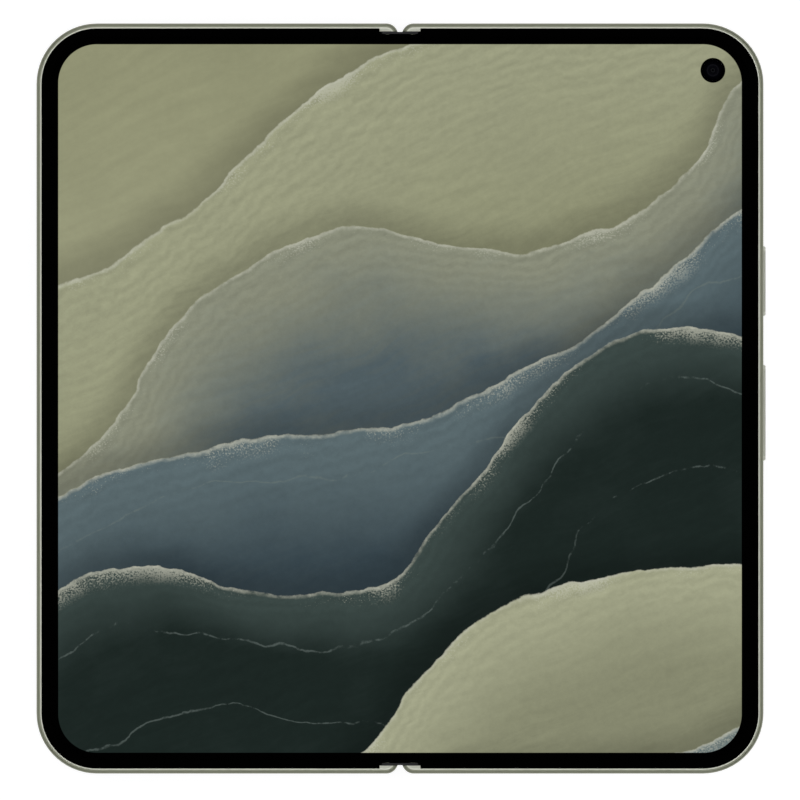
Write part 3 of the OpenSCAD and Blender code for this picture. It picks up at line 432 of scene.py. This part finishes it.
def brushedSteel(name, colour, rough=0.32, along="y"):
    paint = Paint(name, Metallic=1.0)
    x, y, z = paint.axes(paint.place())
    fine, slow = (5.0, 0.25) if along == "y" else (0.25, 5.0)  # per mm
    lines = paint.noise(paint.point(x * fine, y * slow, z * fine), 1.0, 4.0, 0.65)
    paint.set("Base Color", paint.depths(lines, colour, 0.82, 1.1))
    paint.set("Roughness", rough + (lines - 0.5) * 0.2)
    paint.bump(lines, 0.15, 0.01)
    return paint.material


def etchedGlass(name, colour):
    # matt etched outer face over a coloured film
    paint = Paint(name, IOR=1.5, Coat_Roughness=0.25)
    spot = paint.place()
    sparkle = paint.noise(spot, 9.0, 1.0)
    cloud = paint.noise(spot, 0.025, 3.0)
    paint.set("Base Color", paint.depths(cloud * 0.5 + sparkle * 0.5, colour, 0.94, 1.07))
    paint.set("Roughness", 0.36 + (sparkle - 0.5) * 0.08)
    paint.set("Coat Weight", 0.15 + cloud * 0.1)
    paint.bump(sparkle, 0.06, 0.01)
    return paint.material


def blackGlass(name, colour, rough=0.045):
    paint = Paint(name, IOR=1.5, Specular_IOR_Level=0.32)
    cloud = paint.noise(paint.place(), 0.05, 3.0)
    paint.set("Base Color", paint.depths(cloud, colour, 0.7, 1.3))
    paint.set("Roughness", rough + cloud * 0.03)
    return paint.material


def softBorder(name):
    # moulded rubber lip, satin black
    paint = Paint(name, IOR=1.4, Specular_IOR_Level=0.12)
    grain = paint.noise(paint.place(), 5.0, 3.0)
    paint.set("Base Color", paint.mix(grain, linear(0, 0, 0), linear(1, 1, 1)))
    paint.set("Roughness", 0.17 + grain * 0.05)
    paint.bump(grain, 0.05, 0.01)
    return paint.material


def moulded(name, colour, rough=0.5):
    paint = Paint(name, IOR=1.46)
    grain = paint.noise(paint.place(), 3.5, 3.0)
    paint.set("Base Color", paint.depths(grain, colour, 0.85, 1.15))
    paint.set("Roughness", rough + (grain - 0.5) * 0.12)
    paint.bump(grain, 0.12, 0.02)
    return paint.material


def batteryFoil(name):
    paint = Paint(name, Metallic=0.6)
    creases = paint.noise(paint.place(), 0.35, 5.0, 0.6)
    paint.set("Base Color", paint.mix(creases, linear(38, 39, 42), linear(62, 63, 66)))
    paint.set("Roughness", 0.34 + creases * 0.2)
    paint.bump(creases, 0.4, 0.12)
    return paint.material


def circuitBoard(name):
    # dark green resist with copper tracks under it, and small pads
    paint = Paint(name, IOR=1.5)
    spot = paint.place()
    tracks = paint.node("ShaderNodeTexBrick", {"offset": 0.37},
                        {"Vector": spot, "Scale": 1.0, "Mortar Size": 0.05, "Brick Width": 1.7,
                         "Row Height": 0.6}, out="Fac")
    cells = paint.node("ShaderNodeTexVoronoi", {"feature": "F1"},
                       {"Vector": spot, "Scale": 0.9}, out="Distance")
    pads = 1 - cells.between(0.16, 0.2)
    green = paint.mix(tracks, linear(22, 54, 44), linear(34, 82, 62))
    paint.set("Base Color", paint.mix(pads, green, linear(190, 160, 92)))
    paint.set("Metallic", pads * 0.9)
    paint.set("Roughness", 0.38 - pads * 0.1)
    paint.bump(tracks * 0.4 + pads, 0.3, 0.03)
    return paint.material


def flatCable(name, linePitch=0.8):
    # amber film with copper lines that run across the fold
    paint = Paint(name, IOR=1.55)
    x, y, z = paint.axes(paint.place())
    lines = y.wave(linePitch).between(-0.2, 0.3)
    paint.set("Base Color", paint.mix(lines, linear(120, 66, 18), linear(176, 104, 44)))
    paint.set("Metallic", lines * 0.35)
    paint.set("Roughness", 0.3 + lines * 0.08)
    return paint.material


def woundCopper(name, strandPitch=0.42):
    paint = Paint(name, Metallic=1.0)
    strands = paint.vector("DISTANCE", paint.place(), tuple(middle("charging_coil"))).wave(strandPitch)
    paint.set("Base Color", paint.mix(strands * 0.5 + 0.5, linear(120, 66, 38), linear(206, 128, 82)))
    paint.set("Roughness", 0.3 - strands * 0.06)
    paint.bump(strands, 0.5, 0.06)
    return paint.material


def magnetPlate(name):
    paint = Paint(name, Metallic=1.0)
    cloud = paint.noise(paint.place(), 0.8, 4.0)
    paint.set("Base Color", paint.mix(cloud, linear(170, 170, 174), linear(200, 200, 204)))
    paint.set("Roughness", 0.12 + cloud * 0.12)
    return paint.material


def gearMetal(name):
    # pressed and sintered: fine open grain, oil in the pores
    paint = Paint(name, Metallic=1.0)
    grain = paint.noise(paint.place(), 7.0, 4.0, 0.7)
    paint.set("Base Color", paint.mix(grain, linear(118, 106, 78), linear(188, 172, 132)))
    paint.set("Roughness", 0.3 + grain * 0.16)
    paint.bump(grain, 0.25, 0.02)
    return paint.material


# Cameras, flash and port: their details lie about the middles of their nodes
lens = {
    "ring": 3.15,             # mm, outer radius of the turned rings
    "ringLines": 0.11,        # mm from one lathe line to the next
    "glass": 2.66,            # mm, radius of the front lens behind a window
    "coverGlass": 1.7,
    "innerGlass": 2.3,
    "flashRings": 0.35,       # mm from one ring of the flash window to the next
    "emitter": (0.9, 1.15),   # mm, radius of the yellow heart of the flash, from full to none
    "flashRim": (2.2, 2.35),  # mm, radius at which its window ends
}
port = {
    "tongueThick": (0.38, 0.42),  # mm from the middle, where the tongue ends
    "tongueWide": (3.6, 3.7),
    "contactsWide": (2.9, 3.0),
    "contactPitch": 0.5,
}


def middleFromAbove(name):
    return tuple(middle(name))[:2]


def lensMiddles():
    # two lenses in a column and a third beside the lower one, from the box round their rings
    low, high = (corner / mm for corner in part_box("lens_rings"))
    nearX, farX = low.x + lens["ring"], high.x - lens["ring"]
    lowY, highY = low.y + lens["ring"], high.y - lens["ring"]
    return [(nearX, lowY), (nearX, highY), (farX, lowY)]


def turnedRing(name, colour):
    # lathe lines about each lens
    paint = Paint(name, Metallic=1.0)
    lines = paint.reachFrom(paint.place(), lensMiddles()).wave(lens["ringLines"])
    paint.set("Base Color", paint.depths(lines * 0.5 + 0.5, colour, 0.75, 1.15))
    paint.set("Roughness", 0.25 + lines * 0.05)
    return paint.material


def lensStack(name, places, glassRadius):
    # dark barrel with inner rings, and a coated front lens whose blue and purple rings are painted
    # reflections
    paint = Paint(name, IOR=1.6, Specular_Tint=linear(150, 168, 255))
    spot = paint.place()
    share = paint.reachFrom(spot, places) / glassRadius
    # the blue and purple rings are painted reflections of the coating; the dark and grey rings are the
    # barrel's own
    ringsAndReflections = paint.ramp(share, (0.0, 6, 8, 14), (0.22, 10, 12, 22), (0.3, 34, 44, 70), (0.36, 8, 9, 14),
                      (0.55, 12, 12, 16), (0.6, 48, 34, 58), (0.66, 10, 10, 12), (0.84, 7, 7, 8),
                      (0.9, 30, 32, 34), (1.0, 16, 16, 17))
    inside = 1 - share.between(0.98, 1.0)
    grain = paint.noise(spot, 4.0, 2.0)
    plain = paint.mix(grain, linear(22, 22, 24), linear(32, 32, 34))
    paint.set("Base Color", paint.mix(inside, plain, ringsAndReflections))
    paint.set("Roughness", 0.45 - inside * 0.41)
    paint.set("Coat Weight", inside)
    return paint.material


def flashGlass(name):
    # frosted window over a yellow emitter
    paint = Paint(name, IOR=1.5)
    reach = paint.reachFrom(paint.place(), [middleFromAbove("flash_lens")])
    rings = reach.wave(lens["flashRings"])
    heart = 1 - reach.between(*lens["emitter"])
    milk = paint.mix(heart, linear(226, 224, 206), linear(232, 206, 96))
    paint.set("Base Color", paint.mix(reach.between(*lens["flashRim"]), milk, linear(36, 36, 38)))
    paint.set("Roughness", 0.2 + rings * 0.04)
    paint.bump(rings, 0.35, 0.05)
    return paint.material


def innerLens(name):
    # black window in the screen with the lens just showing through, and a painted glint near its middle
    paint = Paint(name, IOR=1.5)
    spot = paint.place()
    reach = paint.reachFrom(spot, [middleFromAbove("inner_camera")])
    grain = paint.noise(spot, 6.0, 2.0)
    share = reach / lens["innerGlass"] + (grain - 0.5) * 0.02
    # the bright ring near the middle is a painted glint
    rings = paint.ramp(share, (0.0, 4, 4, 5), (0.1, 5, 5, 7), (0.15, 34, 35, 38), (0.2, 8, 8, 11),
                       (0.42, 11, 11, 16), (0.5, 23, 23, 27), (0.58, 4, 4, 8), (1.0, 0, 0, 0))
    paint.set("Base Color", rings)
    paint.set("Roughness", 0.04 + grain * 0.02)
    return paint.material


def portMetal(name, colour):
    # steel shell, and a black tongue with gold contacts in its mouth
    paint = Paint(name)
    x, y, z = paint.axes(paint.place())
    across = abs(x - middle("usb_port").x)
    deep = abs(z - middle("usb_port").z)
    tongue = (1 - deep.between(*port["tongueThick"])) * (1 - across.between(*port["tongueWide"]))
    row = tongue * (1 - across.between(*port["contactsWide"]))
    contacts = x.wave(port["contactPitch"]).between(0.1, 0.3) * row
    lines = paint.noise(paint.point(x * 6.0, y * 0.3, z * 6.0), 1.0, 3.0)
    plastic = paint.mix(contacts, linear(20, 20, 22), linear(214, 176, 96))
    paint.set("Base Color", paint.mix(tongue, paint.depths(lines, colour, 0.85, 1.1), plastic))
    paint.set("Metallic", 1 - tongue * (1 - contacts))
    paint.set("Roughness", 0.3 + lines * 0.1 + tongue * 0.12)
    return paint.material


# Cover screen: black printed border round the lit area, and the eye of its camera at the top with a painted
# reflection in it
cover = {
    "middleX": -39.2, "halfWide": 31.9, "halfHigh": 73.3, "corner": 6.0,  # mm, the lit area
    "eyeScale": 2.4,     # mm, radius that the eye's rings are drawn over
    "eye": (2.15, 2.3),  # mm, radius at which the eye ends
}


def coverGlass(name):
    paint = Paint(name, IOR=1.5, Specular_IOR_Level=0.3)
    spot = paint.place()
    x, y, z = paint.axes(spot)
    border = paint.roundBox(x - cover["middleX"], y, cover["halfWide"], cover["halfHigh"], cover["corner"])
    lit = 1 - border.between(*drawnEdge)
    cloud = paint.noise(spot, 0.05, 3.0)
    tone = paint.mix(lit, linear(2, 2, 3), paint.mix(cloud, linear(20, 21, 25), linear(26, 27, 31)))
    reach = paint.reachFrom(spot, [middleFromAbove("cover_camera")])
    share = reach / cover["eyeScale"]
    # the light blue ring in the eye is a painted reflection
    rings = paint.ramp(share, (0.0, 6, 7, 12), (0.16, 10, 12, 22), (0.24, 70, 82, 116), (0.34, 12, 13, 18),
                       (0.56, 20, 21, 25), (0.64, 62, 64, 68), (0.72, 2, 2, 2), (1.0, 2, 2, 2))
    paint.set("Base Color", paint.mix(1 - reach.between(*cover["eye"]), tone, rings))
    paint.set("Roughness", 0.05 + cloud * 0.03 + lit * 0.02)
    return paint.material


# One finish per material slot of the record, and special ones for single nodes
finishes = {
    "frame_metal": satinMetal("sage frame", tones["sage"], 0.44, tones["sageCutHighlight"], frameCutHighlight),
    "key_metal": satinMetal("sage keys", tones["sage"], 0.44, tones["sageKeyHighlight"], keyCutHighlight),
    "spine_metal": polishedMetal("spine", tones["sage"]),
    "island_metal": satinMetal("sage island", tones["sage"], 0.4),
    "back_glass": etchedGlass("back glass", tones["sageGlass"]),
    "black_glass": blackGlass("black glass", linear(7, 7, 9)),
    "soft_border": softBorder("soft border"),
    "panel": blackGlass("cover panel", linear(12, 12, 14), 0.3),
    "thin_steel": brushedSteel("thin steel", linear(150, 151, 155)),
    "hinge_steel": brushedSteel("hinge steel", linear(190, 191, 196), 0.25, "x"),
    "end_cap": moulded("end caps", tones["cap"], 0.42),
    "gear_metal": gearMetal("gears"),
    "spring_steel": brushedSteel("spring steel", linear(186, 182, 170), 0.28),
    "screw_steel": brushedSteel("screws", linear(110, 111, 115), 0.3),
    "cable": flatCable("flat cable"),
    "battery": batteryFoil("battery foil"),
    "board": circuitBoard("circuit board"),
    "can_steel": brushedSteel("tinned cans", linear(196, 197, 200), 0.35),
    "module_plastic": moulded("module plastic", linear(30, 30, 32)),
    "lens_ring": turnedRing("lens rings", linear(120, 122, 118)),
    "flash": flashGlass("flash"),
    "copper": woundCopper("coil"),
    "magnet": magnetPlate("magnets"),
}
special = {
    "camera_modules": lensStack("main lenses", lensMiddles(), lens["glass"]),
    "inner_camera_window": innerLens("inner camera"),
    "cover_camera": lensStack("cover lens", [middleFromAbove("cover_camera")], lens["coverGlass"]),
    "cover_glass": coverGlass("cover glass"),
    "usb_port": portMetal("port", linear(190, 191, 194)),
}
print("finishes made:", len(finishes) + len(special))

# Wallpaper: soft dunes lit from one side, drawn for this part
wallpaper = {
    "halfWide": 70.69, "halfHigh": 73.27, "corner": 8.0,  # mm, the lit area
    "eye": (2.53, 2.61),       # mm, radius at which the black round the inner camera ends
    "lean": 24.0,              # degrees
    "own": 0.74,               # share of the picture that the screen itself gives
    "sky": ((163, 164, 134), (150, 151, 120)),
    "skyFade": (-20.0, 80.0),  # mm, from the first colour to the second
    "crest": (200, 201, 184),
    "crestLine": 0.9,          # mm, width of the bright line along each crest
    "dust": 4.5,               # mm below it that pale dust reaches
    "shadow": 9.0,             # mm above a crest that its shade reaches
    "strand": (112, 124, 120),
    "strandDrift": 26.0,       # times the slow noise, mm that the strands stray
    # place across the lean, height and length of its wave, phase, colour at the crest and further down,
    # fade length, depths of the thin strands that run below the crest
    "dunes": [
        (58.0, 9.0, 150.0, 0.4, (160, 162, 133), (147, 149, 119), 60.0, ()),
        (26.0, 12.0, 130.0, 2.2, (142, 145, 126), (82, 96, 101), 34.0, ()),
        (2.0, 8.0, 170.0, 4.1, (94, 110, 114), (56, 70, 77), 30.0, (9.0,)),
        (-20.0, 13.0, 120.0, 5.6, (62, 75, 72), (30, 40, 37), 18.0, (12.0, 31.0)),
        (-58.0, 10.0, 140.0, 1.1, (168, 170, 141), (139, 141, 115), 26.0, ()),
        (-84.0, 7.0, 110.0, 3.0, (106, 120, 120), (70, 86, 91), 26.0, ()),
    ],
}


def screenPaint(name, layer):
    w = wallpaper
    paint = Paint(name, IOR=1.5, Emission_Strength=1.0)
    spot = paint.place(layer)
    x, y, z = paint.axes(spot)

    # how the crests stray, and what is blown and strewn over the slopes: each about 0, two of them from
    # another place, so that they don't follow the rest
    wideWarp = paint.noise(spot, 0.011, 2.0) - 0.5
    slowWarp = paint.noise(paint.vector("ADD", spot, (40.0, 11.0, 0.0)), 0.035, 3.0) - 0.5
    fineWarp = paint.noise(spot, 0.35, 4.0, 0.6) - 0.5
    mottle = paint.noise(spot, 0.6, 6.0, 0.68) - 0.5
    cloud = paint.noise(paint.vector("ADD", spot, (5.0, 70.0, 0.0)), 0.05, 4.0) - 0.5
    grains = paint.noise(spot, 2.6, 3.0, 0.7) - 0.5
    turn = math.radians(w["lean"])
    along = x * math.cos(turn) + y * math.sin(turn) + wideWarp * 30.0
    across = y * math.cos(turn) - x * math.sin(turn) + slowWarp * 9.0
    waves = (across * 1.5 + along * 0.2 + wideWarp * 40.0 + fineWarp * 5.0).sine() * cloud.between(-0.1, 0.15)
    combed = paint.noise(paint.point(along * 0.09, across * 0.75, 0.0), 1.0, 5.0, 0.62) - 0.5

    picture = paint.mix(y.between(*w["skyFade"]), linear(*w["sky"][0]), linear(*w["sky"][1]))
    texture = 1 + cloud * 0.22 + combed * 0.16 + mottle * 0.16 + waves * 0.03
    picture = paint.times(picture, paint.grey(texture))
    for place, high, long, phase, top, low, fade, strands in w["dunes"]:
        line = along.wave(long, phase) * high + place + fineWarp * 1.3
        depth = line - across  # mm below this crest
        # its shade on what lies behind
        shade = 1 - (depth + w["shadow"]).between(0.0, w["shadow"]) * (1 - depth.between(0.0, 0.3)) * 0.3
        picture = paint.times(picture, paint.grey(shade))
        # its slope, with ripples near the crest
        ripples = (depth * 2.6 + fineWarp * 7.0 + along * 0.22).sine() * (1 - depth.between(0.0, fade * 0.6))
        body = paint.mix(depth.between(0.0, fade) + cloud * 0.6 + combed * 0.4, linear(*top), linear(*low))
        texture = (1 + ripples * 0.05 + waves * 0.035 + combed * 0.36 + mottle * 0.26
                   + grains * 0.1 + cloud * 0.2)
        body = paint.times(body, paint.grey(texture))
        for deep in strands:
            thin = 1 - abs(depth + slowWarp * w["strandDrift"] - deep).between(0.05, 0.3)
            broken = (mottle + cloud * 1.4).between(-0.12, 0.14)
            body = paint.mix(thin * broken * 0.42, body, linear(*w["strand"]))
        picture = paint.mix(depth.between(-0.1, 0.15), picture, body)
        # its bright line, and dust below it
        scattered = (grains + cloud * 1.1 - depth * 0.02).between(0.03, 0.16)
        dust = (1 - depth.between(0.0, w["dust"])) * scattered * 0.6
        edge = (1 - depth.between(0.15, w["crestLine"])) * (0.42 + cloud * 1.6 + mottle * 1.3)
        picture = paint.mix(depth.between(-0.25, 0.0) * edge.largest(dust), picture, linear(*w["crest"]))

    # the lit area has round corners, with black all round it and round the camera
    outside = paint.roundBox(x, y, w["halfWide"], w["halfHigh"], w["corner"]).between(*drawnEdge)
    eye = paint.reachFrom(spot, [middleFromAbove("inner_camera")]).between(*w["eye"])
    dark = outside.largest(1 - eye)
    reflected = paint.times(picture, level(1 - w["own"]))
    paint.set("Base Color", paint.mix(dark, reflected, dimmed(tones["black"], 0.5)))
    paint.set("Emission Color", paint.mix(dark, paint.times(picture, level(w["own"])), level(0.0)))
    paint.set("Roughness", 0.05 + (mottle + 0.5) * 0.02)
    return paint.material


# Pieces that bend between the spine and their half: a closed skin over a row of four-cornered sections
def skinned(name, sections):
    work = bmesh.new()
    rims = [[work.verts.new(corner) for corner in section] for section in sections]
    for one, two in zip(rims, rims[1:]):
        for i in range(4):
            k = (i + 1) % 4
            work.faces.new((one[i], one[k], two[k], two[i]))
    work.faces.new(rims[0])
    work.faces.new(rims[-1])
    bmesh.ops.recalc_face_normals(work, faces=work.faces)
    mesh = bpy.data.meshes.new(name)
    work.to_mesh(mesh)
    work.free()
    piece = bpy.data.objects.new(name, mesh)
    bpy.context.scene.collection.objects.link(piece)
    return piece


def smoothed(piece, material):
    piece.data.shade_smooth()
    piece.data.set_sharp_from_angle(angle=math.radians(sharpAngle))
    piece.data.materials.clear()
    piece.data.materials.append(material)
    return piece


# The folding screen, as large as the panels
display = {
    "corner": 10.2,        # mm
    "bendSteps": 36, "flatSteps": 8, "cornerSteps": 24,
    "hole": 2.2,           # mm, radius of the hole for the inner camera
    "holeSteps": 72,
    "drill": 3.0,          # mm, length of the drill, more than twice the screen
    "layer": "restPlace",  # UVs that hold the picture
}


def cutCameraHole(piece):
    drill = bmesh.new()
    radius = display["hole"] * mm
    bmesh.ops.create_cone(drill, cap_ends=True, segments=display["holeSteps"],
                          radius1=radius, radius2=radius, depth=display["drill"] * mm)
    x, y = middleFromAbove("inner_camera")
    bmesh.ops.translate(drill, verts=drill.verts, vec=(x * mm, y * mm, panelHigh.z))
    cutter = bpy.data.objects.new("cutter", bpy.data.meshes.new("cutter"))
    drill.to_mesh(cutter.data)
    drill.free()
    bpy.context.scene.collection.objects.link(cutter)
    cut = piece.modifiers.new("hole", "BOOLEAN")
    cut.operation = "DIFFERENCE"
    cut.solver = "EXACT"
    cut.object = cutter
    shape = bpy.context.evaluated_depsgraph_get()
    holed = bpy.data.meshes.new_from_object(piece.evaluated_get(shape))
    piece.modifiers.clear()
    piece.data = holed
    bpy.data.objects.remove(cutter)


def displayHalf(name, side, material):
    d = display
    corner = d["corner"] * mm
    bend = panelLow.x  # where the bend ends and the stiff part starts
    straight = panelHigh.x - corner  # where the round corners start
    xs = [bend * i / d["bendSteps"] for i in range(d["bendSteps"] + 1)]
    xs += [bend + (straight - bend) * i / d["flatSteps"] for i in range(1, d["flatSteps"] + 1)]
    for i in range(1, d["cornerSteps"] + 1):
        xs.append(straight + corner * math.sin(math.radians(90 * i / d["cornerSteps"])))
    sections = []
    for x in xs:
        past = max(0.0, x - straight)
        y = panelHigh.y - corner + math.sqrt(max(0.0, corner ** 2 - past ** 2))
        sections.append([(side * x, -y, panelLow.z), (side * x, y, panelLow.z),
                         (side * x, y, panelHigh.z), (side * x, -y, panelHigh.z)])
    piece = skinned(name, sections)
    if side > 0:
        cutCameraHole(piece)
    layer = piece.data.uv_layers.new(name=d["layer"])
    for loop in piece.data.loops:
        spot = piece.data.vertices[loop.vertex_index].co
        layer.data[loop.index].uv = (spot.x / uvSpan + uvMiddle, spot.y / uvSpan + uvMiddle)
    return smoothed(piece, material)


# The flat cable across the spine: its slack bow lets it follow the fold
ribbon = {
    "thick": 0.15,   # mm
    "bowWide": 3.6,  # mm from the middle, where the bow ends
    "steps": 60,
}


def cableHalf(name, side):
    thick = ribbon["thick"] * mm
    flat = cableHigh.z - thick  # underside of the flat ends
    bow = flat - cableLow.z
    bowWide = ribbon["bowWide"] * mm
    sections = []
    for i in range(ribbon["steps"] + 1):
        x = cableHigh.x * i / ribbon["steps"]
        dip = bow * (1 + math.cos(math.pi * x / bowWide)) / 2 if x < bowWide else 0
        z = flat - dip
        sections.append([(side * x, cableLow.y, z), (side * x, cableHigh.y, z),
                         (side * x, cableHigh.y, z + thick), (side * x, cableLow.y, z + thick)])
    return smoothed(skinned(name, sections), finishes["cable"])


halves = ((1, "right"), (-1, "left"))
for side, half in halves:
    piece = cableHalf("cable_" + half, side)
    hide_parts("fold_cable")
    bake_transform(piece)
print("cable made")

screenFinish = screenPaint("screen", display["layer"])
for side, half in halves:
    piece = displayHalf("display_" + half, side, screenFinish)
    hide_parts(half + "_panel", "fold_panel")
    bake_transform(piece)
print("screen made")

# Every shown CAD node gets its finish
for part in record["subparts"]:
    name = part["node"]
    node = nodes[name]
    if node.hide_render:
        continue
    node.data.materials.clear()
    node.data.materials.append(special.get(name) or finishes[part["material_slot"]])
print("nodes finished:", len(record["subparts"]))
